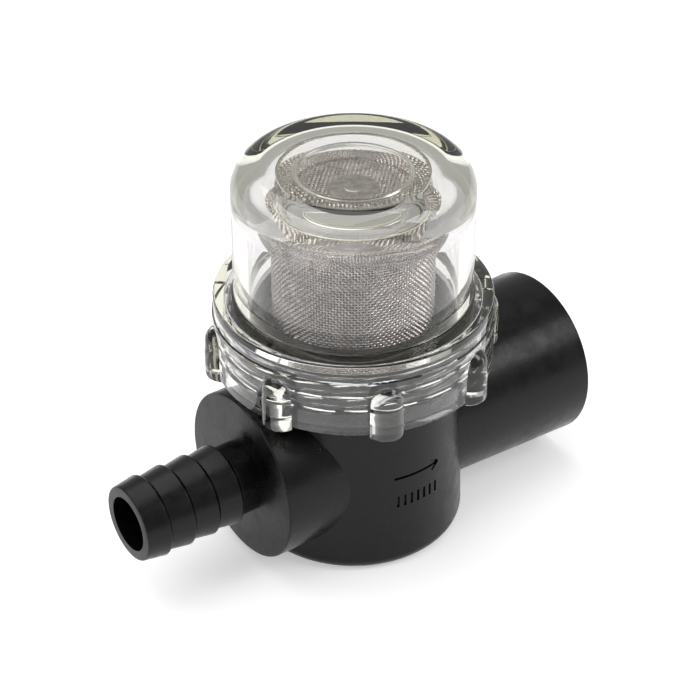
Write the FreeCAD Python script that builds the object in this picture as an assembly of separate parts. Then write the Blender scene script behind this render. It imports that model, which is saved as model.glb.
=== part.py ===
import FreeCAD, Part
import math
import os

# Sea water strainer. Millimetres, +Z up. The origin is on the bowl's axis at the flat base of the housing.
# +X runs out through the threaded outlet socket, -X through the hose barb, and the flow arrow faces -Y.

V = FreeCAD.Vector
UP = V(0, 0, 1)
ALONG = V(1, 0, 0)

# Cup of the housing
CUP_BASE_R = 19.9
CUP_TOP_R = 18.9
CUP_WALL = 3.0
CUP_FLOOR = 3.0
BASE_FILLET = 2.4
NECK_FOOT_Z = 33.0

# Ports, on one axis along X
PORT_Z = 17.2
BOSS_R = 15.4
BOSS_REACH = 24.3
BOSS_EDGE = 0.35
SOCKET_ROOT_R = 14.5
SOCKET_END_R = 15.75
SOCKET_REACH = 42.8
SOCKET_EDGE = 0.5
PIPE_THREAD_ROOT_R = 10.48
PIPE_THREAD_LENGTH = 15.0
PIPE_THREAD_CHAMFER = 0.8
OUTLET_BORE_R = 8.6
DUCT_WALL = 2.4

# Hose barb
BARB_BORE_R = 4.95
BARB_VALLEY_R = 6.75
BARB_CREST_R = 7.4
BARB_NECK_R = 6.4
BARB_NECK_LENGTH = 3.6
BARB_RIDGES = 4
BARB_PITCH = 4.8
BARB_BACK_LENGTH = 0.6
BARB_EDGE = 0.3

# Threaded neck and the spigot above it
THREAD_PITCH = 2.8
THREAD_HEIGHT = 1.1
THREAD_FOOT_WIDTH = 1.4
THREAD_CREST_WIDTH = 0.7
THREAD_RADIAL_CLEARANCE = 0.35
NECK_CORE_R = 20.9
NECK_LENGTH = 10.2
NECK_LEAD_IN = 0.9
SPIGOT_WALL = 1.6
SPIGOT_LENGTH = 2.75
SPIGOT_EDGE = 0.3

# Riser that carries the screen inside the cup
RISER_BORE_R = 12.0
SEAT_Z = 36.0
SEAT_NOSE_LENGTH = 3.0

# Clear bowl
DOME_WALL = 2.8
DOME_TOP_THICKNESS = 5.0
DOME_TOP_Z = 72.3
DOME_FILLET = 5.2
CEILING_FILLET = 5.0
DOME_ROOT_FILLET = 0.4
SPIGOT_CLEARANCE = 0.4
COLLAR_WALL = 2.2
COLLAR_BAND_STEP = 0.25
COLLAR_BAND_LENGTH = 3.5
COLLAR_EDGE = 0.4
COLLAR_FOOT_CLEARANCE = 0.5
SHOULDER_THICKNESS = 2.3

# Grip lugs on the collar
LUG_COUNT = 8
LUG_R = 3.15
LUG_PROUD = 1.85
LUG_DROP = 0.5
LUG_LENGTH = 10.0
LUG_STEP = 0.12
LUG_STEP_HEIGHT = 5.1
LUG_EDGE = 0.5
LUG_FIRST_ANGLE = 22.5

# Sealing ring
RING_SECTION_R = 0.85
RING_CLEARANCE = 0.06

# Screen
SCREEN_R = 14.1
SCREEN_WALL = 0.4
SCREEN_HEAD_CLEARANCE = 3.0
HEM_BORE_R = 9.8
HEM_FILLET = 1.2
SCREEN_RIDGE = 0.08
SCREEN_RIDGE_WIDTH = 0.8
SCREEN_GAP_COLUMNS = 30
SCREEN_GAP_ROWS = 4
SCREEN_GAP_WIDTH = 1.2
SCREEN_GAP_SHARE = 0.7
SEAM_ANGLE = 188.5
END_DISC_THICKNESS = 0.4
END_BUTTON_R = 4.4
END_BUTTON_RISE = 0.15
END_NUB_R = 1.5
END_NUB_RISE = 0.15
END_BUTTON_LAND = 1.0
END_HEM_LAND = 0.2
END_GAP_COUNT = 24
END_GAP_WIDTH = 0.9
RIM_LIP = 0.4
RIM_BASE = 0.5
RIM_HEIGHT = 3.0
RIM_CLEARANCE = 0.05
RIM_NOSE_CLEARANCE = 0.15

# Marks engraved in the front of the cup
MARK_DEPTH = 0.35
MARK_STROKE = 0.5
ARROW_Z = 19.2
ARROW_LENGTH = 9.4
ARROW_HEAD = 1.9
BAR_COUNT = 7
BAR_Z = 14.2
BAR_HEIGHT = 2.3
BAR_PITCH = 1.35

# Sizes that follow from the ones above
CAVITY_R = CUP_TOP_R - CUP_WALL
NECK_TOP_Z = NECK_FOOT_Z + NECK_LENGTH
NECK_THREAD_LOW = NECK_FOOT_Z + NECK_LEAD_IN + THREAD_FOOT_WIDTH / 2
NECK_THREAD_HIGH = NECK_TOP_Z - NECK_LEAD_IN - THREAD_FOOT_WIDTH / 2
SPIGOT_R = CAVITY_R + SPIGOT_WALL
SPIGOT_TOP_Z = NECK_TOP_Z + SPIGOT_LENGTH
BARB_ROOT_X = -BOSS_REACH - BARB_NECK_LENGTH
BARB_TIP_X = BARB_ROOT_X - BARB_RIDGES * BARB_PITCH
DOME_BORE_R = SPIGOT_R + SPIGOT_CLEARANCE
DOME_R = DOME_BORE_R + DOME_WALL
BOWL_THREAD_R = NECK_CORE_R + THREAD_HEIGHT + THREAD_RADIAL_CLEARANCE
COLLAR_R = BOWL_THREAD_R + COLLAR_WALL
COLLAR_FOOT_Z = NECK_FOOT_Z + COLLAR_FOOT_CLEARANCE
RING_Z = NECK_TOP_Z + RING_CLEARANCE + RING_SECTION_R
COLLAR_CEILING_Z = RING_Z + RING_SECTION_R + RING_CLEARANCE
SHOULDER_Z = COLLAR_CEILING_Z + SHOULDER_THICKNESS
DOME_CEILING_Z = DOME_TOP_Z - DOME_TOP_THICKNESS
SCREEN_TOP_Z = DOME_CEILING_Z - SCREEN_HEAD_CLEARANCE
SCREEN_BORE_R = SCREEN_R - SCREEN_WALL
END_TOP_Z = SCREEN_TOP_Z - SCREEN_WALL
END_LOW_Z = END_TOP_Z - END_DISC_THICKNESS
END_DISC_R = SCREEN_BORE_R - (HEM_FILLET - SCREEN_WALL)
RIM_BORE_R = SCREEN_BORE_R - RIM_CLEARANCE - RIM_LIP
RIM_R = SCREEN_R + RIM_CLEARANCE + RIM_LIP
SEAT_NOSE_R = RIM_BORE_R - RIM_NOSE_CLEARANCE
SCREEN_FOOT_Z = SEAT_Z + RIM_BASE + RIM_CLEARANCE
JOIN = 0.05
BORE_OVERRUN = 1.0


def rounded_wire(corners, place):
    """Closed wire through corners (a, b, fillet radius), each corner rounded by a tangent arc."""
    edges = []
    count = len(corners)
    starts = []
    ends = []
    middles = []
    for i in range(count):
        here = V(corners[i][0], corners[i][1], 0)
        before = V(corners[i - 1][0], corners[i - 1][1], 0)
        after = V(corners[(i + 1) % count][0], corners[(i + 1) % count][1], 0)
        back = (before - here).normalize()
        ahead = (after - here).normalize()
        half = back.getAngle(ahead) / 2
        radius = corners[i][2]
        run = radius / math.tan(half) if radius else 0
        starts.append(here + back * run)
        ends.append(here + ahead * run)
        middle = here
        if radius:
            inward = (back + ahead).normalize()
            middle = here + inward * (radius / math.sin(half) - radius)
        middles.append(middle)
    for i in range(count):
        follow = (i + 1) % count
        if corners[i][2]:
            edges.append(Part.Arc(place(starts[i]), place(middles[i]), place(ends[i])).toShape())
        if (starts[follow] - ends[i]).Length > 1e-6:
            edges.append(Part.LineSegment(place(ends[i]), place(starts[follow])).toShape())
    return Part.Wire(edges)


def turned_on_z(corners):
    """Solid turned about the bowl's axis from corners (radius, height, fillet)."""
    wire = rounded_wire(corners, lambda p: V(p.x, 0, p.y))
    return Part.Face(wire).revolve(V(0, 0, 0), UP, 360)


def turned_on_port(corners):
    """Solid turned about the port axis from corners (x, radius, fillet)."""
    wire = rounded_wire(corners, lambda p: V(p.x, 0, PORT_Z + p.y))
    return Part.Face(wire).revolve(V(0, 0, PORT_Z), ALONG, 360)


def upright(radius, low, high):
    """Cylinder about the bowl's axis between two heights."""
    return Part.makeCylinder(radius, high - low, V(0, 0, low), UP)


def on_port(radius, low, high):
    """Cylinder about the port axis between two places along X."""
    return Part.makeCylinder(radius, high - low, V(low, 0, PORT_Z), ALONG)


def turned_copy(shape, angle):
    """Copy of a shape turned about the bowl's axis."""
    copy = shape.copy()
    copy.rotate(V(0, 0, 0), UP, angle)
    return copy


def thread_ridge(foot_r, outward, low, high):
    """Right-hand helical ridge of trapezoid section, from foot_r outwards or inwards."""
    side = 1 if outward else -1
    foot = foot_r - side * JOIN
    crest = foot_r + side * THREAD_HEIGHT
    helix = Part.makeHelix(THREAD_PITCH, high - low, foot_r)
    corners = [
        V(foot, 0, -THREAD_FOOT_WIDTH / 2),
        V(crest, 0, -THREAD_CREST_WIDTH / 2),
        V(crest, 0, THREAD_CREST_WIDTH / 2),
        V(foot, 0, THREAD_FOOT_WIDTH / 2),
    ]
    section = Part.makePolygon(corners + corners[:1])
    ridge = Part.Wire(helix).makePipeShell([section], True, True)
    ridge.translate(V(0, 0, low))
    return ridge


def barb_body():
    """Ridged hose barb outside the boss, from its tip to the boss's face."""
    crest_round = BARB_BACK_LENGTH / 2
    corners = [(BARB_TIP_X, 0, 0), (BARB_TIP_X, BARB_VALLEY_R, BARB_EDGE)]
    for ridge in range(BARB_RIDGES):
        back = BARB_TIP_X + (ridge + 1) * BARB_PITCH
        foot_r = BARB_NECK_R if ridge == BARB_RIDGES - 1 else BARB_VALLEY_R
        corners.append((back - BARB_BACK_LENGTH, BARB_CREST_R, crest_round))
        corners.append((back, foot_r, 0))
    corners.append((-BOSS_REACH, BARB_NECK_R, 0))
    corners.append((-BOSS_REACH, 0, 0))
    return turned_on_port(corners)


def barb_bore():
    """Bore from the barb's tip into the cup's cavity."""
    return on_port(BARB_BORE_R, BARB_TIP_X - BORE_OVERRUN, -RIM_R - JOIN)


def housing_outside():
    """Cup, boss, socket, neck and spigot, all solid."""
    cup = turned_on_z([
        (0, 0, 0),
        (CUP_BASE_R, 0, BASE_FILLET),
        (CUP_TOP_R, NECK_FOOT_Z, 0),
        (NECK_CORE_R, NECK_FOOT_Z, 0),
        (NECK_CORE_R, NECK_TOP_Z, SPIGOT_EDGE),
        (SPIGOT_R, NECK_TOP_Z, 0),
        (SPIGOT_R, SPIGOT_TOP_Z, SPIGOT_EDGE),
        (0, SPIGOT_TOP_Z, 0),
    ])
    boss = turned_on_port([
        (0, 0, 0),
        (-BOSS_REACH, 0, 0),
        (-BOSS_REACH, BOSS_R, BOSS_EDGE),
        (0, BOSS_R, 0),
    ])
    socket = turned_on_port([
        (0, 0, 0),
        (0, SOCKET_ROOT_R, 0),
        (SOCKET_REACH, SOCKET_END_R, SOCKET_EDGE),
        (SOCKET_REACH, 0, 0),
    ])
    return cup.multiFuse([boss, socket])


def slanted_bar(tip, angle, length):
    """Bar of the mark's stroke width that starts at tip (x, z) and runs back at an angle."""
    half = MARK_STROKE / 2
    bar = Part.makeBox(length, CUP_BASE_R, MARK_STROKE, V(-length, -CUP_BASE_R, -half))
    bar.rotate(V(0, 0, 0), V(0, 1, 0), angle)
    bar.translate(V(tip[0], 0, tip[1]))
    return bar


def engraved_marks():
    """Flow arrow that points to the outlet, and a row of plain bars below it."""
    tip = (ARROW_LENGTH / 2, ARROW_Z)
    strokes = [slanted_bar(tip, 0, ARROW_LENGTH)]
    strokes += [slanted_bar(tip, angle, ARROW_HEAD) for angle in (-35, 35)]
    for i in range(BAR_COUNT):
        x = (i - (BAR_COUNT - 1) / 2) * BAR_PITCH
        corner = V(x - MARK_STROKE / 2, -CUP_BASE_R, BAR_Z - BAR_HEIGHT / 2)
        strokes.append(Part.makeBox(MARK_STROKE, CUP_BASE_R, BAR_HEIGHT, corner))
    core = turned_on_z([
        (0, 0, 0),
        (CUP_BASE_R - MARK_DEPTH, 0, 0),
        (CUP_TOP_R - MARK_DEPTH, NECK_FOOT_Z, 0),
        (0, NECK_FOOT_Z, 0),
    ])
    return strokes[0].multiFuse(strokes[1:]).cut(core)


def make_housing():
    """Moulding without its barb: cup with both ports, the screen's riser, the threaded neck and the spigot."""
    cavity = upright(CAVITY_R, CUP_FLOOR, SPIGOT_TOP_Z + BORE_OVERRUN)
    riser = upright(RIM_R, CUP_FLOOR - JOIN, SEAT_Z)
    nose = upright(SEAT_NOSE_R, SEAT_Z - JOIN, SEAT_Z + SEAT_NOSE_LENGTH)
    duct = on_port(OUTLET_BORE_R + DUCT_WALL, 0, CAVITY_R + JOIN)
    inside = riser.multiFuse([nose, duct.common(upright(CAVITY_R + JOIN, CUP_FLOOR, SEAT_Z))])
    shape = housing_outside().cut(cavity).fuse(inside)
    thread_x = SOCKET_REACH - PIPE_THREAD_LENGTH
    mouth = Part.makeCone(
        PIPE_THREAD_ROOT_R,
        PIPE_THREAD_ROOT_R + PIPE_THREAD_CHAMFER,
        PIPE_THREAD_CHAMFER,
        V(SOCKET_REACH - PIPE_THREAD_CHAMFER, 0, PORT_Z),
        ALONG,
    )
    shape = shape.cut(upright(RISER_BORE_R, CUP_FLOOR, SPIGOT_TOP_Z))
    shape = shape.cut(on_port(OUTLET_BORE_R, 0, thread_x + JOIN))
    shape = shape.cut(on_port(PIPE_THREAD_ROOT_R, thread_x, SOCKET_REACH + BORE_OVERRUN))
    shape = shape.cut(mouth)
    shape = shape.cut(barb_bore())
    shape = shape.cut(engraved_marks())
    ridge = thread_ridge(NECK_CORE_R, True, NECK_THREAD_LOW, NECK_THREAD_HIGH)
    return shape.fuse(ridge).removeSplitter()


def make_inlet_barb():
    """Barb of the same moulding, from its tip to where it grows out of the boss's face."""
    return barb_body().cut(barb_bore()).removeSplitter()


def grip_lug():
    """Upright rounded lug on the collar at angle 0, with a small step round it."""
    centre = COLLAR_R + LUG_PROUD - LUG_R
    foot = COLLAR_FOOT_Z - LUG_DROP
    step = foot + LUG_STEP_HEIGHT
    top = foot + LUG_LENGTH
    lower = turned_on_z([(0, foot, 0), (LUG_R, foot, LUG_EDGE), (LUG_R, step, 0), (0, step, 0)])
    upper_r = LUG_R - LUG_STEP
    upper = upright(upper_r, step - JOIN, top - upper_r)
    cap = Part.makeSphere(upper_r, V(0, 0, top - upper_r))
    lug = lower.multiFuse([upper, cap])
    lug.translate(V(centre, 0, 0))
    return lug


def make_bowl():
    """One clear moulding: dome, shoulder, threaded collar and grip lugs."""
    band_z = SHOULDER_Z - COLLAR_BAND_LENGTH
    band_r = COLLAR_R - COLLAR_BAND_STEP
    shape = turned_on_z([
        (0, COLLAR_FOOT_Z, 0),
        (COLLAR_R, COLLAR_FOOT_Z, COLLAR_EDGE),
        (COLLAR_R, band_z, 0),
        (band_r, band_z + COLLAR_BAND_STEP, 0),
        (band_r, SHOULDER_Z, COLLAR_EDGE),
        (DOME_R, SHOULDER_Z, DOME_ROOT_FILLET),
        (DOME_R, DOME_TOP_Z, DOME_FILLET),
        (0, DOME_TOP_Z, 0),
    ])
    lug = grip_lug()
    lugs = [turned_copy(lug, LUG_FIRST_ANGLE + i * 360 / LUG_COUNT) for i in range(LUG_COUNT)]
    shape = shape.multiFuse(lugs)
    foot = COLLAR_FOOT_Z - LUG_DROP - 1
    hollow = turned_on_z([
        (0, foot, 0),
        (BOWL_THREAD_R, foot, 0),
        (BOWL_THREAD_R, COLLAR_CEILING_Z, SPIGOT_EDGE),
        (DOME_BORE_R, COLLAR_CEILING_Z, SPIGOT_EDGE),
        (DOME_BORE_R, DOME_CEILING_Z, CEILING_FILLET),
        (0, DOME_CEILING_Z, 0),
    ])
    shape = shape.cut(hollow)
    low = NECK_THREAD_LOW + THREAD_PITCH / 2
    high = COLLAR_CEILING_Z - SPIGOT_EDGE - THREAD_FOOT_WIDTH
    return shape.fuse(thread_ridge(BOWL_THREAD_R, False, low, high)).removeSplitter()


def make_bowl_ring():
    """Round-section sealing ring on the neck's step, round the spigot."""
    middle = SPIGOT_R + SPIGOT_CLEARANCE + RING_SECTION_R
    return Part.makeTorus(middle, RING_SECTION_R, V(0, 0, RING_Z), UP)


def make_screen_sleeve():
    """Rolled woven sleeve, its top hemmed inwards over the end disc. Ridges and gaps stand for the weave."""
    wall_r = SCREEN_R - SCREEN_RIDGE
    sleeve = turned_on_z([
        (0, SCREEN_FOOT_Z, 0),
        (wall_r, SCREEN_FOOT_Z, 0),
        (wall_r, SCREEN_TOP_Z, HEM_FILLET),
        (0, SCREEN_TOP_Z, 0),
    ])
    hollow = turned_on_z([
        (0, SCREEN_FOOT_Z - 1, 0),
        (SCREEN_BORE_R, SCREEN_FOOT_Z - 1, 0),
        (SCREEN_BORE_R, END_TOP_Z, HEM_FILLET - SCREEN_WALL),
        (0, END_TOP_Z, 0),
    ])
    sleeve = sleeve.cut(hollow).cut(upright(HEM_BORE_R, SCREEN_FOOT_Z, SCREEN_TOP_Z + 1))
    low = SEAT_Z + RIM_HEIGHT + RIM_CLEARANCE
    top = SCREEN_TOP_Z - HEM_FILLET
    gap_pitch = (top - low) / SCREEN_GAP_ROWS
    for row in range(SCREEN_GAP_ROWS + 1):
        start = max(low + row * gap_pitch - SCREEN_RIDGE_WIDTH / 2, low)
        stop = min(low + row * gap_pitch + SCREEN_RIDGE_WIDTH / 2, top)
        band = upright(SCREEN_R, start, stop).cut(upright(wall_r - JOIN, start, stop))
        sleeve = sleeve.fuse(band)
    gap_height = gap_pitch * SCREEN_GAP_SHARE
    gaps = []
    for row in range(SCREEN_GAP_ROWS):
        for column in range(SCREEN_GAP_COLUMNS):
            z = low + row * gap_pitch + (gap_pitch - gap_height) / 2
            corner = V(SCREEN_BORE_R - SCREEN_WALL, -SCREEN_GAP_WIDTH / 2, z)
            gap = Part.makeBox(3 * SCREEN_WALL, SCREEN_GAP_WIDTH, gap_height, corner)
            gaps.append(turned_copy(gap, SEAM_ANGLE + (column + 0.5) * 360 / SCREEN_GAP_COLUMNS))
    return sleeve.cut(Part.makeCompound(gaps))


def make_screen_end():
    """End disc under the sleeve's hem: gapped like mesh, with a plain pressed middle and a nub."""
    disc = upright(END_DISC_R, END_LOW_Z, END_TOP_Z)
    button_z = END_TOP_Z + END_BUTTON_RISE
    button = upright(END_BUTTON_R, END_LOW_Z, button_z)
    nub = upright(END_NUB_R, END_LOW_Z, button_z + END_NUB_RISE)
    disc = disc.multiFuse([button, nub])
    start = END_BUTTON_R + END_BUTTON_LAND
    length = HEM_BORE_R - END_HEM_LAND - start
    corner = V(start, -END_GAP_WIDTH / 2, END_LOW_Z - JOIN)
    gaps = []
    for i in range(END_GAP_COUNT):
        gap = Part.makeBox(length, END_GAP_WIDTH, END_DISC_THICKNESS + 2 * JOIN, corner)
        gaps.append(turned_copy(gap, i * 360 / END_GAP_COUNT))
    return disc.cut(Part.makeCompound(gaps))


def make_screen_rim():
    """Folded metal rim that grips the sleeve's lower edge and sits on the riser."""
    ring = upright(RIM_R, SEAT_Z, SEAT_Z + RIM_HEIGHT).cut(upright(RIM_BORE_R, SEAT_Z, SEAT_Z + RIM_HEIGHT))
    groove_out = SCREEN_R + RIM_CLEARANCE
    groove_in = SCREEN_BORE_R - RIM_CLEARANCE
    top = SEAT_Z + RIM_HEIGHT + BORE_OVERRUN
    groove = upright(groove_out, SEAT_Z + RIM_BASE, top).cut(upright(groove_in, SEAT_Z, top))
    return ring.cut(groove)


NODES = {
    "housing": make_housing,
    "inlet_barb": make_inlet_barb,
    "bowl": make_bowl,
    "bowl_ring": make_bowl_ring,
    "screen_sleeve": make_screen_sleeve,
    "screen_end": make_screen_end,
    "screen_rim": make_screen_rim,
}

os.makedirs("parts", exist_ok=True)
for name, make in NODES.items():
    solid = make()
    solid.exportStep(os.path.join("parts", name + ".step"))
    box = solid.BoundBox
    print(name, "solids", len(solid.Solids), "valid", solid.isValid(), "volume", round(solid.Volume, 1))
    print("   x", round(box.XMin, 2), round(box.XMax, 2), "y", round(box.YMin, 2), round(box.YMax, 2),
          "z", round(box.ZMin, 2), round(box.ZMax, 2))
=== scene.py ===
"""Looks of the sea water strainer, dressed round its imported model.

Lengths are in metres unless a name ends in _mm. +Z is up the bowl, +X runs from the hose barb to the outlet
socket, and the flow arrow faces -Y.
"""

import logging
import math
from dataclasses import dataclass
from enum import Enum

import bmesh
import bpy
import numpy as np
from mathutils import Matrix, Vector


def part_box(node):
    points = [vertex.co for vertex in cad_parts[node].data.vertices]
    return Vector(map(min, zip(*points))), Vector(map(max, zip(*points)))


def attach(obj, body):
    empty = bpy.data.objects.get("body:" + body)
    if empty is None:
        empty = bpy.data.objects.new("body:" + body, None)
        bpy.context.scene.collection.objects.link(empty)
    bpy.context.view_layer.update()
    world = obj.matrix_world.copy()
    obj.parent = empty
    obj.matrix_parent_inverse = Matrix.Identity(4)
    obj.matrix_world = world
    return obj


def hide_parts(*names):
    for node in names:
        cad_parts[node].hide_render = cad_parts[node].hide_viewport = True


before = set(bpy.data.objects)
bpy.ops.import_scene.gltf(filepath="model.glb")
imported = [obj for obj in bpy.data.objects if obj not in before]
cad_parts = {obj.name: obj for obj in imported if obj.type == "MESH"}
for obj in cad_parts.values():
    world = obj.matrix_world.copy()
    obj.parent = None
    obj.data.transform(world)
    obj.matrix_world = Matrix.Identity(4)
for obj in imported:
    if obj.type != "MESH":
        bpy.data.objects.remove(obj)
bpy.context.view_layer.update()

MM = 0.001
LOG = logging.getLogger("strainer")

Colour = tuple[float, float, float, float]


class Body(str, Enum):
    """The rigid bodies that pieces ride on."""

    HOUSING = "housing"
    RING = "ring"
    BOWL = "bowl"


class Slot(str, Enum):
    """The material slots of the record."""

    HOUSING = "housing_plastic"
    BOWL = "bowl_clear"
    RING = "ring_rubber"
    MESH = "screen_mesh"
    METAL = "screen_metal"


# ---------------------------------------------------------------- meshes


def mesh_object(name: str, points: np.ndarray, quads: np.ndarray, smooth_deg: float) -> bpy.types.Object:
    """Puts arrays of points and quads into a mesh object at the origin.

    Args:
        name: The object's name.
        points: Vertex places, shape (n, 3).
        quads: Vertex indices of the faces, shape (m, 4), turning outwards.
        smooth_deg: Edges sharper than this angle stay sharp.

    Returns:
        The linked object, with coincident vertices welded.
    """
    mesh = bpy.data.meshes.new(name)
    mesh.vertices.add(len(points))
    mesh.vertices.foreach_set("co", np.ascontiguousarray(points, np.float32).ravel())
    mesh.loops.add(quads.size)
    mesh.loops.foreach_set("vertex_index", np.ascontiguousarray(quads, np.int32).ravel())
    mesh.polygons.add(len(quads))
    mesh.polygons.foreach_set("loop_start", np.arange(0, quads.size, 4, dtype=np.int32))
    mesh.update(calc_edges=True)
    mesh.validate()
    made = bpy.data.objects.new(name, mesh)
    bpy.context.scene.collection.objects.link(made)
    weld(made, smooth_deg)
    return made


WELD_GAP = 0.0002 * MM
CAD_WELD_GAP = 0.001 * MM
WIRE_SIDES = 4


def weld(made: bpy.types.Object, smooth_deg: float, gap: float = WELD_GAP) -> None:
    """Merges coincident vertices and shades the mesh smooth.

    Args:
        made: The object to weld.
        smooth_deg: Edges sharper than this angle stay sharp.
        gap: Vertices nearer than this are merged.
    """
    work = bmesh.new()
    work.from_mesh(made.data)
    bmesh.ops.remove_doubles(work, verts=work.verts, dist=gap)
    bmesh.ops.dissolve_degenerate(work, dist=gap, edges=work.edges)
    limit = math.radians(smooth_deg)
    for face in work.faces:
        face.smooth = True
    for edge in work.edges:
        edge.smooth = len(edge.link_faces) == 2 and edge.calc_face_angle(math.pi) < limit
    work.to_mesh(made.data)
    work.free()
    made.data.update()


def grid_quads(rows: int, columns: int, close_rows: bool, close_columns: bool) -> np.ndarray:
    """Lists the quads of a grid of points.

    Args:
        rows: Count of rows in the grid.
        columns: Count of columns in the grid.
        close_rows: True if the last row joins the first.
        close_columns: True if the last column joins the first.

    Returns:
        Vertex indices, shape (m, 4).
    """
    index = np.arange(rows * columns).reshape(rows, columns)
    if close_rows:
        index = np.vstack([index, index[:1]])
    if close_columns:
        index = np.hstack([index, index[:, :1]])
    corners = (index[:-1, :-1], index[:-1, 1:], index[1:, 1:], index[1:, :-1])
    return np.stack(corners, axis=-1).reshape(-1, 4)


def turned(name: str, profile: np.ndarray, columns: int, smooth_deg: float) -> bpy.types.Object:
    """Turns a closed profile about Z.

    Each point of the surface is (radius * cos a, radius * sin a, height), with a in even steps.

    Args:
        name: The object's name.
        profile: Points (radius, height), anticlockwise in their plane so that the faces point outwards.
        columns: Count of steps round the axis.
        smooth_deg: Edges sharper than this angle stay sharp.

    Returns:
        The linked object.
    """
    angle = np.linspace(0, 2 * np.pi, columns, endpoint=False)
    radius, height = profile[:, :1], profile[:, 1:]
    grid = np.stack([radius * np.cos(angle), radius * np.sin(angle), height + 0 * angle], axis=-1)
    quads = grid_quads(len(profile), columns, True, True)
    return mesh_object(name, grid.reshape(-1, 3), quads[:, ::-1], smooth_deg)


def tubes(paths: np.ndarray, across: np.ndarray, up: np.ndarray,
          radius: float) -> tuple[np.ndarray, np.ndarray]:
    """Carries a wire's section of four points along many paths at once; one quad closes each end.

    A point of a wire is path + radius * (across * cos a + up * sin a), with a in even steps round it.

    Args:
        paths: Middle lines, shape (wires, samples, 3).
        across: Unit vectors square to each path, same shape.
        up: Unit vectors square to the path and to across, with across x up along the path.
        radius: The wire's radius.

    Returns:
        Points (n, 3) and quads (m, 4), turning outwards.
    """
    turn = np.linspace(0, 2 * np.pi, WIRE_SIDES, endpoint=False)
    ring = across[..., None, :] * np.cos(turn)[:, None] + up[..., None, :] * np.sin(turn)[:, None]
    points = paths[..., None, :] + radius * ring
    wires, samples = paths.shape[:2]
    first = np.arange(WIRE_SIDES).reshape(1, -1)
    last = first[:, ::-1] + (samples - 1) * WIRE_SIDES
    one = np.vstack([grid_quads(samples, WIRE_SIDES, False, True), first, last])
    start = (np.arange(wires) * samples * WIRE_SIDES)[:, None, None]
    return points.reshape(-1, 3), (one[None] + start).reshape(-1, 4)


def round_corners(corners: list[tuple[float, float, float]], steps: int = 6) -> np.ndarray:
    """Rounds the corners of a closed outline.

    A point of an arc is centre + (sin((1 - t) * w) * start + sin(t * w) * stop) / sin w, with t from 0 to 1
    and w the arc's angle.

    Args:
        corners: Corners (a, b, fillet radius); a radius of 0 keeps the corner sharp.
        steps: Count of steps along each arc.

    Returns:
        The outline's points, shape (n, 2).
    """
    outline = []
    count = len(corners)
    for i, (a, b, radius) in enumerate(corners):
        here = np.array([a, b])
        back = np.array(corners[i - 1][:2]) - here
        ahead = np.array(corners[(i + 1) % count][:2]) - here
        back, ahead = back / np.linalg.norm(back), ahead / np.linalg.norm(ahead)
        half = math.acos(np.clip(back @ ahead, -1, 1)) / 2
        if radius <= 0:
            outline.append(here[None])
            continue
        centre = here + (back + ahead) / np.linalg.norm(back + ahead) * radius / math.sin(half)
        start = here + back * radius / math.tan(half) - centre
        stop = here + ahead * radius / math.tan(half) - centre
        share = np.linspace(0, 1, steps + 1)[:, None]
        blend = np.sin((1 - share) * (np.pi - 2 * half)) * start + np.sin(share * (np.pi - 2 * half)) * stop
        outline.append(centre + blend / math.sin(np.pi - 2 * half))
    return np.vstack(outline)


def skin_of(node: str, name: str, smooth_deg: float) -> bpy.types.Object:
    """Copies a CAD node's mesh, welded and shaded smooth.

    Args:
        node: The node's name in the frame.
        name: The copy's name.
        smooth_deg: Edges sharper than this angle stay sharp.

    Returns:
        The linked copy; the node itself is untouched.
    """
    made = bpy.data.objects.new(name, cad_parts[node].data.copy())
    bpy.context.scene.collection.objects.link(made)
    made.data.materials.clear()
    if "custom_normal" in made.data.attributes:
        made.data.attributes.remove(made.data.attributes["custom_normal"])
    weld(made, smooth_deg, CAD_WELD_GAP)
    return made


def place(made: bpy.types.Object, material: bpy.types.Material, body: Body, slot: Slot, *nodes: str) -> None:
    """Dresses a finished piece and seats it on its body.

    Args:
        made: The piece, at the origin.
        material: Its finish.
        body: The rigid body that it rides on.
        slot: Its material slot in the record; it is not used.
        nodes: Names of the CAD nodes that it stands for, if any.
    """
    made.data.materials.append(material)
    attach(made, body.value)
    if nodes:
        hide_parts(*nodes)
    LOG.info("%s: %d faces on %s", made.name, len(made.data.polygons), body.value)


# ---------------------------------------------------------------- finishes


class NodeSheet:
    """Short hand for laying out one node tree."""

    def __init__(self, tree: bpy.types.NodeTree) -> None:
        """Keeps the tree that nodes go into."""
        self.tree = tree

    def add(self, kind: str, **settings: object) -> bpy.types.Node:
        """Adds a node.

        Args:
            kind: The node's type.
            settings: Values of its properties, or of its sockets where it has no such property.

        Returns:
            The node.
        """
        node = self.tree.nodes.new(kind)
        for key, value in settings.items():
            if hasattr(node, key):
                setattr(node, key, value)
            else:
                node.inputs[key.replace("_", " ").title()].default_value = value
        return node

    def join(self, source: bpy.types.NodeSocket, target: bpy.types.NodeSocket) -> None:
        """Links two sockets."""
        self.tree.links.new(source, target)


def new_material(name: str) -> tuple[bpy.types.Material, NodeSheet, bpy.types.Node, bpy.types.Node]:
    """Makes a material whose tree holds only a Principled BSDF, joined to its output.

    Args:
        name: The material's name.

    Returns:
        The material, its sheet, its Principled BSDF and its output.
    """
    material = bpy.data.materials.new(name)
    material.use_nodes = True
    material.node_tree.nodes.clear()
    sheet = NodeSheet(material.node_tree)
    shader = sheet.add("ShaderNodeBsdfPrincipled")
    output = sheet.add("ShaderNodeOutputMaterial")
    sheet.join(shader.outputs["BSDF"], output.inputs["Surface"])
    return material, sheet, shader, output


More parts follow.
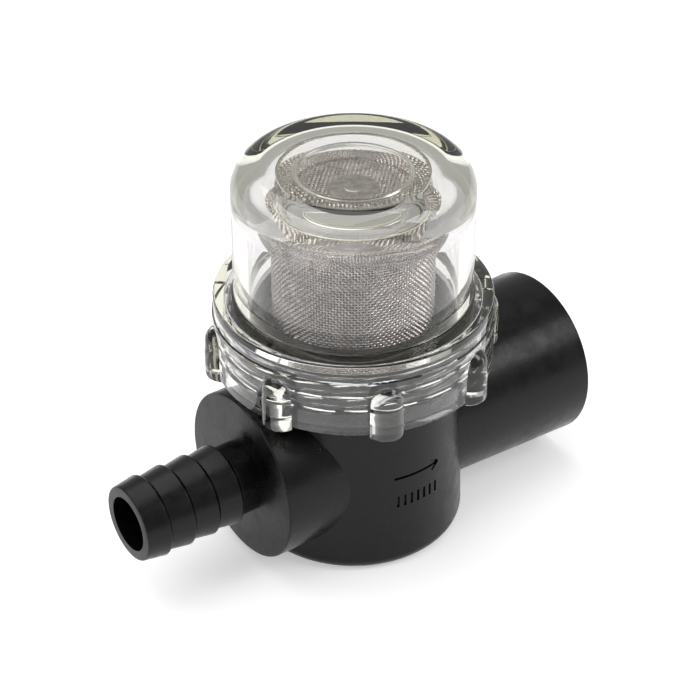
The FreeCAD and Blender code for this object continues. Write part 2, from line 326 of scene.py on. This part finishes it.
def moulded_skin_group() -> bpy.types.NodeTree:
    """Makes the shared group for moulded, rolled and drawn surfaces: soft mottle with a finer grain over it.

    The height is mottle plus grain times its share. The mask is the mottle, stretched between its two limits.

    Returns:
        A group with inputs Vector, Mottle Scale and Grain Scale (per metre) and outputs Mask (0 to 1) and
        Height.
    """
    mask_limits = (0.3, 0.7)
    grain_share = 0.6
    tree = bpy.data.node_groups.new("moulded_skin", "ShaderNodeTree")
    face = tree.interface
    face.new_socket("Vector", in_out="INPUT", socket_type="NodeSocketVector")
    for name in ("Mottle Scale", "Grain Scale"):
        face.new_socket(name, in_out="INPUT", socket_type="NodeSocketFloat")
    for name in ("Mask", "Height"):
        face.new_socket(name, in_out="OUTPUT", socket_type="NodeSocketFloat")
    sheet = NodeSheet(tree)
    source = sheet.add("NodeGroupInput")
    result = sheet.add("NodeGroupOutput")
    mottle = sheet.add("ShaderNodeTexNoise", detail=4.0, roughness=0.6)
    grain = sheet.add("ShaderNodeTexNoise", detail=2.0, roughness=0.5)
    for noise, scale in ((mottle, "Mottle Scale"), (grain, "Grain Scale")):
        sheet.join(source.outputs["Vector"], noise.inputs["Vector"])
        sheet.join(source.outputs[scale], noise.inputs["Scale"])
    mask = sheet.add("ShaderNodeMapRange")
    mask.inputs["From Min"].default_value, mask.inputs["From Max"].default_value = mask_limits
    sheet.join(mottle.outputs["Fac"], mask.inputs["Value"])
    height = sheet.add("ShaderNodeMath", operation="MULTIPLY_ADD")
    sheet.join(grain.outputs["Fac"], height.inputs[0])
    height.inputs[1].default_value = grain_share
    sheet.join(mottle.outputs["Fac"], height.inputs[2])
    sheet.join(mask.outputs["Result"], result.inputs["Mask"])
    sheet.join(height.outputs["Value"], result.inputs["Height"])
    return tree


@dataclass(frozen=True)
class Grain:
    """Pattern of a surface: its two sizes per metre, and the strength and depth of its relief."""

    mottle_per_m: float
    grain_per_m: float
    bump: float
    depth: float


class Finish:
    """A material under way, with the shared surface pattern laid on it in object coordinates."""

    def __init__(self, name: str, skin: bpy.types.NodeTree, grain: Grain) -> None:
        """Starts the material.

        Args:
            name: The material's name.
            skin: The shared group of surface patterns.
            grain: Sizes and relief of this surface's pattern.
        """
        self.material, self.sheet, self.shader, self.output = new_material(name)
        place_of = self.sheet.add("ShaderNodeTexCoord")
        self.pattern = self.sheet.add("ShaderNodeGroup", node_tree=skin)
        self.pattern.inputs["Mottle Scale"].default_value = grain.mottle_per_m
        self.pattern.inputs["Grain Scale"].default_value = grain.grain_per_m
        self.sheet.join(place_of.outputs["Object"], self.pattern.inputs["Vector"])
        bump = self.sheet.add("ShaderNodeBump")
        bump.inputs["Strength"].default_value = grain.bump
        bump.inputs["Distance"].default_value = grain.depth
        self.sheet.join(self.pattern.outputs["Height"], bump.inputs["Height"])
        self.sheet.join(bump.outputs["Normal"], self.shader.inputs["Normal"])

    def set(self, **sockets: object) -> None:
        """Sets the shader's sockets to constants; base_color names the socket Base Color."""
        for key, value in sockets.items():
            self.shader.inputs[key.replace("_", " ").title()].default_value = value

    def colours(self, low: Colour, high: Colour) -> None:
        """Mixes two colours by the pattern's mask.

        Args:
            low: The colour where the mask is 0.
            high: The colour where the mask is 1.
        """
        tint = self.sheet.add("ShaderNodeMix", data_type="RGBA")
        tint.inputs["A"].default_value = low
        tint.inputs["B"].default_value = high
        self.sheet.join(self.pattern.outputs["Mask"], tint.inputs["Factor"])
        self.sheet.join(tint.outputs["Result"], self.shader.inputs["Base Color"])

    def roughness(self, low: float, high: float) -> None:
        """Moves the roughness between two values by the pattern's mask.

        Args:
            low: The roughness where the mask is 0.
            high: The roughness where the mask is 1.
        """
        rough = self.sheet.add("ShaderNodeMapRange")
        rough.inputs["To Min"].default_value = low
        rough.inputs["To Max"].default_value = high
        self.sheet.join(self.pattern.outputs["Mask"], rough.inputs["Value"])
        self.sheet.join(rough.outputs["Result"], self.shader.inputs["Roughness"])


@dataclass(frozen=True)
class BlackPlastic:
    """Satin black moulded plastic with a mottled sheen."""

    dark: Colour = (0.0010, 0.0010, 0.0013, 1)
    pale: Colour = (0.0030, 0.0030, 0.0038, 1)
    rough: tuple[float, float] = (0.20, 0.40)
    shine: float = 0.26
    grain: Grain = Grain(300.0, 2200.0, 0.22, 0.1 * MM)

    def make(self, skin: bpy.types.NodeTree) -> bpy.types.Material:
        """Mixes two near blacks and two roughnesses by the mask.

        Args:
            skin: The shared group of surface patterns.

        Returns:
            The material.
        """
        finish = Finish("black_plastic", skin, self.grain)
        finish.colours(self.dark, self.pale)
        finish.roughness(*self.rough)
        finish.shader.inputs["Specular IOR Level"].default_value = self.shine
        return finish.material


@dataclass(frozen=True)
class ClearPlastic:
    """Clear polished plastic that turns faintly warm where it is thick."""

    ior: float = 1.57
    rough: float = 0.003
    clear: Colour = (0.915, 0.905, 0.95, 1)
    tint: Colour = (0.86, 0.86, 0.70, 1)
    absorb_per_m: float = 75.0
    grain: Grain = Grain(160.0, 500.0, 0.02, 0.1 * MM)

    def make(self, skin: bpy.types.NodeTree) -> bpy.types.Material:
        """Makes the surface clear; the tint is a volume's absorption.

        Args:
            skin: The shared group of surface patterns.

        Returns:
            The material.
        """
        finish = Finish("clear_plastic", skin, self.grain)
        finish.set(base_color=self.clear, transmission_weight=1.0, roughness=self.rough)
        finish.shader.inputs["IOR"].default_value = self.ior
        absorb = finish.sheet.add("ShaderNodeVolumeAbsorption")
        absorb.inputs["Color"].default_value = self.tint
        absorb.inputs["Density"].default_value = self.absorb_per_m
        finish.sheet.join(absorb.outputs["Volume"], finish.output.inputs["Volume"])
        return finish.material


@dataclass(frozen=True)
class Steel:
    """Drawn or rolled stainless steel, a little warm."""

    name: str
    pale: Colour = (0.74, 0.70, 0.66, 1)
    dark: Colour = (0.40, 0.37, 0.34, 1)
    rough: tuple[float, float] = (0.18, 0.32)
    grain: Grain = Grain(900.0, 6000.0, 0.08, 0.02 * MM)

    def make(self, skin: bpy.types.NodeTree) -> bpy.types.Material:
        """Makes bare metal of two tones and two roughnesses, mixed by the mask.

        Args:
            skin: The shared group of surface patterns.

        Returns:
            The material.
        """
        finish = Finish(self.name, skin, self.grain)
        finish.set(metallic=1.0)
        finish.colours(self.pale, self.dark)
        finish.roughness(*self.rough)
        return finish.material


PRESSED_ROUGH = (0.35, 0.5)


@dataclass(frozen=True)
class Rubber:
    """Black sealing rubber with a dull bloom."""

    black: Colour = (0.008, 0.008, 0.008, 1)
    bloom: Colour = (0.016, 0.016, 0.015, 1)
    rough: float = 0.55
    grain: Grain = Grain(400.0, 5000.0, 0.1, 0.05 * MM)

    def make(self, skin: bpy.types.NodeTree) -> bpy.types.Material:
        """Mixes the black and its bloom by the mask, at one roughness.

        Args:
            skin: The shared group of surface patterns.

        Returns:
            The material.
        """
        finish = Finish("sealing_rubber", skin, self.grain)
        finish.colours(self.black, self.bloom)
        finish.set(roughness=self.rough)
        return finish.material


# ---------------------------------------------------------------- sub-assemblies


@dataclass
class Housing:
    """Black moulding with both ports, and the pipe thread inside its outlet socket."""

    pipe_pitch: float = 1.814 * MM
    pipe_root_r: float = 10.48 * MM
    pipe_crest_r: float = 9.32 * MM
    pipe_lead: float = 1.0 * MM
    pipe_length: float = 14.6 * MM
    pipe_lining: float = 0.3 * MM
    pipe_clear: float = 0.02 * MM
    pipe_fade: float = 0.8
    pipe_flat: float = 0.15
    port_z: float = 17.2 * MM
    columns: int = 144
    rows_per_turn: int = 12
    smooth_deg: float = 32
    thread_smooth_deg: float = 40

    def skin(self, material: bpy.types.Material) -> None:
        """Dresses the moulding and its barb with a smooth skin each.

        Args:
            material: The housing's finish.
        """
        for node in ("housing", "inlet_barb"):
            made = skin_of(node, node + "_moulding", self.smooth_deg)
            place(made, material, Body.HOUSING, Slot.HOUSING, node)

    def pipe_thread(self, material: bpy.types.Material) -> None:
        """Cuts the look of the pipe thread as a lining of the socket.

        The lining's radius is the root less a triangle wave of (x / pitch - angle / turn), which is a helix,
        cut flat at its crests and roots and faded to the root at both ends. Its back lies in the socket's
        wall, so it is a closed sleeve.

        Args:
            material: The housing's finish.
        """
        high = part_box("housing")[1].x - self.pipe_lead
        low = high - self.pipe_length
        rows = int(self.pipe_length / self.pipe_pitch * self.rows_per_turn)
        x = np.linspace(low, high, rows)[:, None]
        angle = np.linspace(0, 2 * np.pi, self.columns, endpoint=False)[None]
        wave = np.abs(((x - low) / self.pipe_pitch - angle / (2 * np.pi)) % 1 * 2 - 1)
        fade = np.clip(np.minimum(x - low, high - x) / (self.pipe_fade * self.pipe_pitch), 0, 1)
        flat = np.clip(wave * (1 + 2 * self.pipe_flat) - self.pipe_flat, 0, 1)
        depth = (self.pipe_root_r - self.pipe_crest_r) * flat * fade
        back = np.full_like(depth[:1], self.pipe_root_r + self.pipe_lining)
        radius = np.vstack([self.pipe_root_r + self.pipe_clear - depth, back, back])
        along = np.vstack([x + 0 * angle, x[-1:] + 0 * angle, x[:1] + 0 * angle])
        turn = np.broadcast_to(angle, radius.shape)
        grid = np.stack([along, radius * np.sin(turn), self.port_z + radius * np.cos(turn)], axis=-1)
        quads = grid_quads(len(radius), self.columns, True, True)
        made = mesh_object("outlet_pipe_thread", grid.reshape(-1, 3), quads, self.thread_smooth_deg)
        place(made, material, Body.HOUSING, Slot.HOUSING)


@dataclass
class Bowl:
    """Clear moulding, with dome, shoulder, threaded collar and grip lugs, and its sealing ring.

    Its top and its foot come from the frame's boxes; the rest are the moulding's own sizes. The rib is a
    shallow ring under the dome's ceiling, above the screen's hem.
    """

    dome_r: float = 20.7 * MM
    dome_fillet: float = 5.2 * MM
    root_fillet: float = 0.4 * MM
    top_thickness: float = 5.0 * MM
    bore_r: float = 17.9 * MM
    ceiling_fillet: float = 5.0 * MM
    rib_out_r: float = 12.9 * MM
    rib_in_r: float = 9.8 * MM
    rib_drop: float = 1.2 * MM
    rib_edge: float = 0.5 * MM
    shoulder_z: float = 47.32 * MM
    collar_r: float = 24.55 * MM
    band_step: float = 0.25 * MM
    band_length: float = 3.5 * MM
    edge: float = 0.4 * MM
    lug_drop: float = 0.5 * MM
    lug_r: float = 3.15 * MM
    lug_proud: float = 1.85 * MM
    lug_length: float = 10.0 * MM
    lug_step: float = 0.12 * MM
    lug_step_height: float = 5.1 * MM
    lug_edge: float = 0.5 * MM
    lug_count: int = 8
    lug_first_deg: float = 22.5
    socket_r: float = 22.35 * MM
    socket_top_z: float = 45.02 * MM
    socket_edge: float = 0.3 * MM
    thread_pitch: float = 2.8 * MM
    thread_height: float = 1.1 * MM
    thread_foot: float = 1.4 * MM
    thread_crest: float = 0.7 * MM
    thread_low_z: float = 36.0 * MM
    thread_high_z: float = 43.32 * MM
    thread_fade: float = 0.6 * MM
    corner_gap: float = 1e-4
    lug_columns: int = 25
    gap_columns: int = 9
    ball_rows: int = 22
    pin_rows: int = 4
    step_run: float = 0.03 * MM
    foot_rows: int = 6
    bend_rows: int = 7
    socket_rows: int = 80
    fillet_steps: int = 10
    ring_columns: int = 144
    ring_sides: int = 24
    smooth_deg: float = 32
    ring_smooth_deg: float = 60

    def __post_init__(self) -> None:
        """Takes the moulding's height from the frame."""
        low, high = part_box("bowl")
        self.top_z = high.z
        self.lug_foot_z = low.z
        self.foot_z = self.lug_foot_z + self.lug_drop
        self.lug_axis_r = self.collar_r + self.lug_proud - self.lug_r

    def lug_half_angle(self) -> float:
        """Angle from a lug's middle to where its round side leaves the collar, by the cosine rule."""
        r, c, a = self.collar_r, self.lug_axis_r, self.lug_r
        return math.acos((r * r + c * c - a * a) / (2 * r * c))

    def columns(self) -> tuple[np.ndarray, np.ndarray]:
        """Spaces the grid's columns: by the sine of even steps in a lug, and evenly between lugs.

        They crowd towards each lug's sides and are doubled there, so that the corner is crisp.

        Returns:
            The columns' angles, and their offsets from the nearest lug's middle.
        """
        edge, half = self.lug_half_angle(), math.pi / self.lug_count
        inside = edge * np.sin(np.linspace(-0.5, 0.5, self.lug_columns) * np.pi)
        outside = np.linspace(edge + self.corner_gap, half, self.gap_columns)
        offset = np.concatenate([-outside[:0:-1], [-outside[0]], inside, outside[:-1]])
        middle = np.radians(self.lug_first_deg) + 2 * half * np.arange(self.lug_count)
        angle = (middle[:, None] + offset[None]).ravel()
        return angle, np.tile(offset, self.lug_count)

    def lug_radius(self, z: np.ndarray, offset: np.ndarray) -> np.ndarray:
        """Outer radius of a lug: a round pin beside the axis, with a small step and a round top.

        The pin of radius a about radius c is met at c * cos f + sqrt(a * a - (c * sin f) ** 2), f being the
        angle from the lug's middle. Near its top a shrinks as on a ball.

        Args:
            z: Heights.
            offset: Angles from the nearest lug's middle.

        Returns:
            Radii from the bowl's axis, 0 where the pin is not met.
        """
        upper = self.lug_r - self.lug_step
        ball_z = self.lug_foot_z + self.lug_length - upper
        rise = np.clip(z - ball_z, 0, upper)
        pin = np.where(z > self.lug_foot_z + self.lug_step_height, np.sqrt(upper**2 - rise**2), self.lug_r)
        reach = pin**2 - (self.lug_axis_r * np.sin(offset)) ** 2
        return np.where(reach > 0, self.lug_axis_r * np.cos(offset) + np.sqrt(np.clip(reach, 0, None)), 0)

    def thread_rise(self, z: np.ndarray, angle: np.ndarray) -> np.ndarray:
        """Height of the collar's inner thread: a trapezoid about z = low + pitch * turns, faded at its ends.

        Args:
            z: Heights.
            angle: Angles round the bowl's axis.

        Returns:
            How far the ridge stands in from the socket's wall.
        """
        turns = (z - self.thread_low_z) / self.thread_pitch - angle / (2 * np.pi)
        away = ((turns + 0.5) % 1 - 0.5) * self.thread_pitch
        flank = (self.thread_foot / 2 - np.abs(away)) / ((self.thread_foot - self.thread_crest) / 2)
        line = z - away
        ends = np.minimum(line - self.thread_low_z, self.thread_high_z - line) / self.thread_fade + 1
        return self.thread_height * np.clip(flank, 0, 1) * np.clip(ends, 0, 1)

    def outside(self) -> np.ndarray:
        """Draws the profile from the dome's pole down to the top of the collar's wide part.

        Returns:
            Points (radius, height), shape (n, 2).
        """
        band_r = self.collar_r - self.band_step
        band_z = self.shoulder_z - self.band_length
        return round_corners([
            (0, self.top_z, 0),
            (self.dome_r, self.top_z, self.dome_fillet),
            (self.dome_r, self.shoulder_z, self.root_fillet),
            (band_r, self.shoulder_z, self.edge),
            (band_r, band_z + self.band_step, 0),
            (self.collar_r, band_z, 0),
        ], self.fillet_steps)

    def inside(self) -> np.ndarray:
        """Draws the profile from just under the socket's ceiling up to the pole of the dome's ceiling.

        Returns:
            Points (radius, height), shape (n, 2).
        """
        ceiling = self.top_z - self.top_thickness
        return round_corners([
            (self.socket_r, self.socket_top_z - 2 * self.socket_edge, 0),
            (self.socket_r, self.socket_top_z, self.socket_edge),
            (self.bore_r, self.socket_top_z, self.socket_edge),
            (self.bore_r, ceiling, self.ceiling_fillet),
            (self.rib_out_r, ceiling, 0),
            (self.rib_out_r, ceiling - self.rib_drop, self.rib_edge),
            (self.rib_in_r, ceiling - self.rib_drop, self.rib_edge),
            (self.rib_in_r, ceiling, self.rib_edge),
            (0, ceiling, 0),
        ], self.fillet_steps)

    def skin(self, material: bpy.types.Material) -> None:
        """Builds the moulding as one closed surface of rows down the outside and back up the inside.

        The dome is the outside profile turned. Below it each row's radius is the larger of the collar's and
        the lugs'. The foot's rows bend a quarter turn by r - e * (1 - cos b) and z + e * (1 - sin b), and the
        socket's rows stand in by the thread's height.

        Args:
            material: The bowl's finish.
        """
        angle, offset = self.columns()
        in_lug = np.abs(offset) <= self.lug_half_angle() + self.corner_gap / 2
        lug_top = self.lug_foot_z + self.lug_length
        step_z = self.lug_foot_z + self.lug_step_height
        bottom = self.lug_foot_z + self.lug_edge
        wall_z = np.concatenate([
            np.linspace(lug_top, lug_top - self.lug_r, self.ball_rows),
            np.linspace(lug_top - self.lug_r, step_z, self.pin_rows)[1:],
            np.linspace(step_z - self.step_run, self.foot_z + self.edge, self.foot_rows)])[:, None]
        wall_r = np.maximum(self.collar_r, self.lug_radius(wall_z, offset[None]))
        bend = np.linspace(0, np.pi / 2, self.bend_rows)[1:, None]
        plain_r = self.collar_r - self.edge * (1 - np.cos(bend)) + 0 * offset[None]
        plain_z = self.foot_z + self.edge * (1 - np.sin(bend)) + 0 * offset[None]
        lug_r = np.maximum(self.collar_r, self.lug_radius(np.array([[bottom]]), offset[None]))
        lug_r = lug_r - self.lug_edge * (1 - np.cos(bend))
        lug_z = self.lug_foot_z + self.lug_edge * (1 - np.sin(bend)) + 0 * offset[None]
        foot_r, foot_z = np.where(in_lug, lug_r, plain_r), np.where(in_lug, lug_z, plain_z)
        inside = self.inside()
        sock_z = np.linspace(self.foot_z, inside[0, 1], self.socket_rows)[:, None] + 0 * offset[None]
        sock_z[0] = foot_z[-1]
        sock_r = self.socket_r - self.thread_rise(sock_z, angle[None])
        outside = self.outside()
        ones = np.ones_like(offset)[None]
        radius = np.vstack([outside[:, :1] * ones, wall_r, foot_r, sock_r, inside[1:, :1] * ones])
        height = np.vstack([outside[:, 1:] * ones, wall_z * ones, foot_z, sock_z, inside[1:, 1:] * ones])
        grid = np.stack([radius * np.cos(angle), radius * np.sin(angle), height], axis=-1)
        quads = grid_quads(len(radius), len(angle), False, True)
        made = mesh_object("bowl_moulding", grid.reshape(-1, 3), quads[:, ::-1], self.smooth_deg)
        place(made, material, Body.BOWL, Slot.BOWL, "bowl")

    def ring(self, material: bpy.types.Material) -> None:
        """Makes the round-section sealing ring: a circle carried round the bowl's axis.

        Args:
            material: The ring's finish.
        """
        low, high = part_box("bowl_ring")
        section_r = (high.z - low.z) / 2
        turn = np.linspace(0, 2 * np.pi, self.ring_sides, endpoint=False)
        profile = np.stack([high.x - section_r + section_r * np.cos(turn),
                            low.z + section_r + section_r * np.sin(turn)], axis=-1)
        made = turned("bowl_seal", profile, self.ring_columns, self.ring_smooth_deg)
        place(made, material, Body.RING, Slot.RING, "bowl_ring")


@dataclass
class Screen:
    """Woven steel screen: rolled sleeve with a lap seam, its top hemmed over an end disc, in a folded rim."""

    pitch: float = 0.5 * MM
    wire_r: float = 0.115 * MM
    seam_from_deg: float = 181.3
    seam_to_deg: float = 195.5
    lap_lift: float = 0.42 * MM
    rim_height: float = 3.0 * MM
    hem_bore_r: float = 9.8 * MM
    hem_bend_r: float = 1.0 * MM
    end_reach: float = 11.2 * MM
    button_r: float = 4.4 * MM
    nub_r: float = 1.5 * MM
    nub_rise: float = 0.15 * MM
    nub_skirt: float = 0.25 * MM
    nub_edge: float = 0.12 * MM
    button_edge: float = 0.15 * MM
    button_low_edge: float = 0.05 * MM
    button_columns: int = 96
    wrap_shift: float = 1e-3
    wire_smooth_deg: float = 80
    button_smooth_deg: float = 50
    rim_smooth_deg: float = 40

    def __post_init__(self) -> None:
        """Takes the screen's place from the frame and counts its wires."""
        low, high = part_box("screen_sleeve")
        self.foot_z = low.z
        self.middle_r = high.x - 2 * self.wire_r
        self.middle_top_z = high.z - 2 * self.wire_r
        self.rise = self.middle_top_z - self.hem_bend_r - self.foot_z
        self.run = self.middle_r - self.hem_bend_r - self.hem_bore_r
        self.length = self.rise + self.hem_bend_r * math.pi / 2 + self.run
        self.rows = int(self.length / self.pitch)
        self.warps = 2 * round(math.pi * self.middle_r / self.pitch)
        self.step = 2 * math.pi / self.warps
        self.seam = math.radians(self.seam_from_deg)
        self.over = int(math.radians(self.seam_to_deg - self.seam_from_deg) / self.step)

    def meridian(self, way: np.ndarray) -> tuple[np.ndarray, np.ndarray, np.ndarray]:
        """Finds the mesh's section: it climbs straight, bends a quarter turn and runs level towards the axis.

        Args:
            way: Lengths along the mesh from its foot.

        Returns:
            Radii, heights, and tilts of the outward normal above the horizontal.
        """
        tilt = np.clip((way - self.rise) / self.hem_bend_r, 0, np.pi / 2)
        inward = np.clip(way - self.rise - self.hem_bend_r * np.pi / 2, 0, None)
        radius = self.middle_r - self.hem_bend_r * (1 - np.cos(tilt)) - inward
        height = self.foot_z + np.minimum(way, self.rise) + self.hem_bend_r * np.sin(tilt)
        return radius, height, tilt

    def lap(self, angle: np.ndarray) -> np.ndarray:
        """Lift of the outer end over the inner one: lift * (1 - s ** 3 * (4 - 3 * s)) at a share s of it."""
        share = np.clip((angle - self.seam) / (self.over * self.step), 0, 1)
        return self.lap_lift * (1 - share**3 * (4 - 3 * share))

    def on_mesh(self, way: np.ndarray, angle: np.ndarray, lift: np.ndarray) -> tuple[np.ndarray, ...]:
        """Places points at a lift from the mesh's middle surface.

        Args:
            way: Lengths along the mesh from its foot.
            angle: Angles round the axis.
            lift: Distances out of the middle surface.

        Returns:
            Points, unit vectors out of the mesh and unit vectors round it.
        """
        radius, height, tilt = self.meridian(way)
        turns = (np.cos(angle), np.sin(angle), np.cos(tilt), np.sin(tilt))
        cos_a, sin_a, cos_t, sin_t = np.broadcast_arrays(*turns)
        out = np.stack([cos_t * cos_a, cos_t * sin_a, sin_t], axis=-1)
        round_it = np.stack([-sin_a, cos_a, 0 * cos_a], axis=-1)
        base = np.stack([radius * cos_a, radius * sin_a, height + 0 * cos_a], axis=-1)
        return base + out * lift[..., None], out, round_it

    def warp_wires(self, material: bpy.types.Material) -> None:
        """Wires that run up the sleeve and inwards over the hem.

        Lift from the mesh's middle is one wire radius times the cosine of half a turn per crossing, and
        neighbours are half a wave apart, so each passes over and under the rings in turn.

        Args:
            material: The wire's finish.
        """
        order = np.arange(self.warps + self.over)[:, None]
        lifted = order < self.over
        angle = self.seam + order * self.step + np.where(order >= self.warps, self.wrap_shift, 0)
        share = np.linspace(0, 1, 2 * self.rows + 1)[None]
        foot = np.where(lifted, self.rim_height, 0)
        way = foot + (self.rows * self.pitch - foot) * share
        lift = self.wire_r * np.cos(np.pi * (way / self.pitch + order)) + np.where(lifted, self.lap(angle), 0)
        paths, out, round_it = self.on_mesh(way, angle, lift)
        points, quads = tubes(paths, out, round_it, self.wire_r)
        made = mesh_object("screen_warp_wires", points, quads, self.wire_smooth_deg)
        place(made, material, Body.HOUSING, Slot.MESH, "screen_sleeve")

    def weft_wires(self, material: bpy.types.Material) -> None:
        """Wires that run round: lift is minus one wire radius times the cosine of half a turn per crossing.

        Each starts on the outside of the lap, runs once round, and ends under the lap.

        Args:
            material: The wire's finish.
        """
        samples = 2 * (self.warps + self.over) + 1
        turn = np.arange(samples)[None]
        angle = self.seam + turn * self.step / 2
        row = np.arange(self.rows)[:, None]
        way = row * self.pitch + 0 * angle
        lap = np.where(way > self.rim_height, self.lap(angle), 0)
        lift = lap - self.wire_r * np.cos(np.pi * (turn / 2 + row))
        paths, out, _ = self.on_mesh(way, angle + 0 * way, lift)
        up = np.stack([-out[..., 2] * np.cos(angle), -out[..., 2] * np.sin(angle),
                       np.hypot(out[..., 0], out[..., 1])], axis=-1)
        points, quads = tubes(paths, up, out, self.wire_r)
        made = mesh_object("screen_weft_wires", points, quads, self.wire_smooth_deg)
        place(made, material, Body.HOUSING, Slot.MESH, "screen_sleeve")

    def end_wires(self, material: bpy.types.Material) -> None:
        """Two crossing sets of straight wires that fill the end disc under the hem.

        Height is the disc's middle plus one wire radius times a cosine of the way along the wire. Every wire
        is laid with the same count of samples, squeezed to its own chord of the disc.

        Args:
            material: The wire's finish.
        """
        middle_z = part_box("screen_end")[0].z + 2 * self.wire_r
        count = int(self.end_reach / self.pitch)
        across = ((np.arange(2 * count) - count + 0.5) * self.pitch)[:, None]
        half = np.sqrt(self.end_reach**2 - across**2)
        samples = 4 * count + 3
        along = np.clip((np.arange(samples)[None] - samples // 2) * self.pitch / 2, -half, half)
        wave = np.cos(np.pi * ((along / self.pitch - 0.5) + np.arange(2 * count)[:, None]))
        sets = []
        for side in (1, -1):
            height = middle_z + side * self.wire_r * wave
            pair = (along, across + 0 * along) if side > 0 else (across + 0 * along, along)
            paths = np.stack([*pair, height], axis=-1)
            level = np.zeros_like(paths)
            level[..., 1 if side > 0 else 0] = side
            up = np.zeros_like(paths)
            up[..., 2] = 1
            sets.append(tubes(paths, level, up, self.wire_r))
        points = np.vstack([found[0] for found in sets])
        quads = np.vstack([sets[0][1], sets[1][1] + len(sets[0][0])])
        made = mesh_object("screen_end_wires", points, quads, self.wire_smooth_deg)
        place(made, material, Body.HOUSING, Slot.MESH, "screen_end")

    def end_button(self, material: bpy.types.Material) -> None:
        """Makes the pressed middle of the end disc: a thin turned plate with a small round nub.

        Args:
            material: The pressed steel's finish.
        """
        low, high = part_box("screen_end")
        top = high.z - self.nub_rise
        profile = round_corners([
            (0, low.z, 0),
            (self.button_r, low.z, self.button_low_edge),
            (self.button_r, top, self.button_edge),
            (self.nub_r + self.nub_skirt, top, self.button_edge),
            (self.nub_r, high.z, self.nub_edge),
            (0, high.z, 0),
        ])
        made = turned("screen_end_button", profile, self.button_columns, self.button_smooth_deg)
        place(made, material, Body.HOUSING, Slot.MESH, "screen_end")

    def rim(self, material: bpy.types.Material) -> None:
        """Folded rim at the sleeve's foot, a smooth skin of its node."""
        made = skin_of("screen_rim", "screen_foot_rim", self.rim_smooth_deg)
        place(made, material, Body.HOUSING, Slot.METAL, "screen_rim")


# ---------------------------------------------------------------- stage


@dataclass(frozen=True)
class Lamp:
    """A square soft lamp: its place and size in metres, and its power in watts."""

    name: str
    place_at: tuple[float, float, float]
    size: float
    power: float

    def hang(self, target: Vector) -> None:
        """Adds the lamp to the scene.

        Args:
            target: The point that it faces.
        """
        light = bpy.data.lights.new(self.name, "AREA")
        light.size = self.size
        light.energy = self.power
        made = bpy.data.objects.new(self.name, light)
        made.location = self.place_at
        made.rotation_euler = (Vector(self.place_at) - target).to_track_quat("Z", "Y").to_euler()
        bpy.context.scene.collection.objects.link(made)


@dataclass
class Studio:
    """Pale floor, soft lamps and the camera."""

    lens_mm: float = 102.54
    sensor_mm: float = 36.0
    clip_start: float = 0.01
    distance: float = 350.89 * MM
    azimuth_deg: float = -35.756
    elevation_deg: float = 34.395
    aim: tuple[float, float, float] = (-0.70 * MM, 0.02 * MM, 34.42 * MM)
    lit_at: tuple[float, float, float] = (0, 0, 30 * MM)
    surround: float = 0.50
    floor_half: float = 3.0
    floor_tone: float = 0.9
    floor_rough: float = 0.9
    floor_glow: float = 0.38
    floor_smooth_deg: float = 30
    lamps: tuple[Lamp, ...] = (
        Lamp("top_lamp", (-0.10, 0.20, 0.75), 0.80, 3.4),
        Lamp("left_lamp", (-0.75, -0.10, 0.50), 0.60, 0.9),
        Lamp("right_lamp", (0.45, -0.50, 0.60), 0.36, 1.7),
    )

    def camera(self) -> None:
        """Sets the camera at its angle, looking at the aim point."""
        azimuth, elevation = math.radians(self.azimuth_deg), math.radians(self.elevation_deg)
        level = math.cos(elevation)
        back = Vector((math.sin(azimuth) * level, -math.cos(azimuth) * level, math.sin(elevation)))
        lens = bpy.data.cameras.new("camera")
        lens.lens = self.lens_mm
        lens.sensor_width = self.sensor_mm
        lens.clip_start = self.clip_start
        made = bpy.data.objects.new("camera", lens)
        made.location = Vector(self.aim) + back * self.distance
        made.rotation_euler = back.to_track_quat("Z", "Y").to_euler()
        bpy.context.scene.collection.objects.link(made)
        bpy.context.scene.camera = made

    def floor(self) -> None:
        """Lays a wide pale floor with a faint glow, so that the object's shadow stays soft."""
        corners = np.array([(-1, -1, 0), (1, -1, 0), (1, 1, 0), (-1, 1, 0)]) * self.floor_half
        made = mesh_object("floor", corners, np.array([[0, 1, 2, 3]]), self.floor_smooth_deg)
        material, _, shader, _ = new_material("floor")
        shader.inputs["Base Color"].default_value = (self.floor_tone, self.floor_tone, self.floor_tone, 1)
        shader.inputs["Roughness"].default_value = self.floor_rough
        shader.inputs["Emission Color"].default_value = (1, 1, 1, 1)
        shader.inputs["Emission Strength"].default_value = self.floor_glow
        made.data.materials.append(material)

    def world(self) -> None:
        """Grey surroundings, so that the lamps and the pale floor draw the clear parts."""
        world = bpy.data.worlds.new("studio")
        bpy.context.scene.world = world
        world.use_nodes = True
        ground = world.node_tree.nodes["Background"]
        ground.inputs["Color"].default_value = (1, 1, 1, 1)
        ground.inputs["Strength"].default_value = self.surround

    def build(self) -> None:
        """Sets the whole stage."""
        self.camera()
        self.floor()
        self.world()
        for lamp in self.lamps:
            lamp.hang(Vector(self.lit_at))
        bpy.context.scene.view_settings.view_transform = "Standard"


def main() -> None:
    """Builds every sub-assembly in order, then the stage."""
    logging.basicConfig(level=logging.INFO, format="%(name)s %(message)s")
    skin = moulded_skin_group()
    black = BlackPlastic().make(skin)
    housing = Housing()
    housing.skin(black)
    housing.pipe_thread(black)
    bowl = Bowl()
    bowl.skin(ClearPlastic().make(skin))
    bowl.ring(Rubber().make(skin))
    wire = Steel("woven_wire").make(skin)
    sheet_steel = Steel("pressed_steel", rough=PRESSED_ROUGH).make(skin)
    screen = Screen()
    screen.warp_wires(wire)
    screen.weft_wires(wire)
    screen.end_wires(wire)
    screen.end_button(sheet_steel)
    screen.rim(sheet_steel)
    Studio().build()


if __name__ == "__main__":
    main()
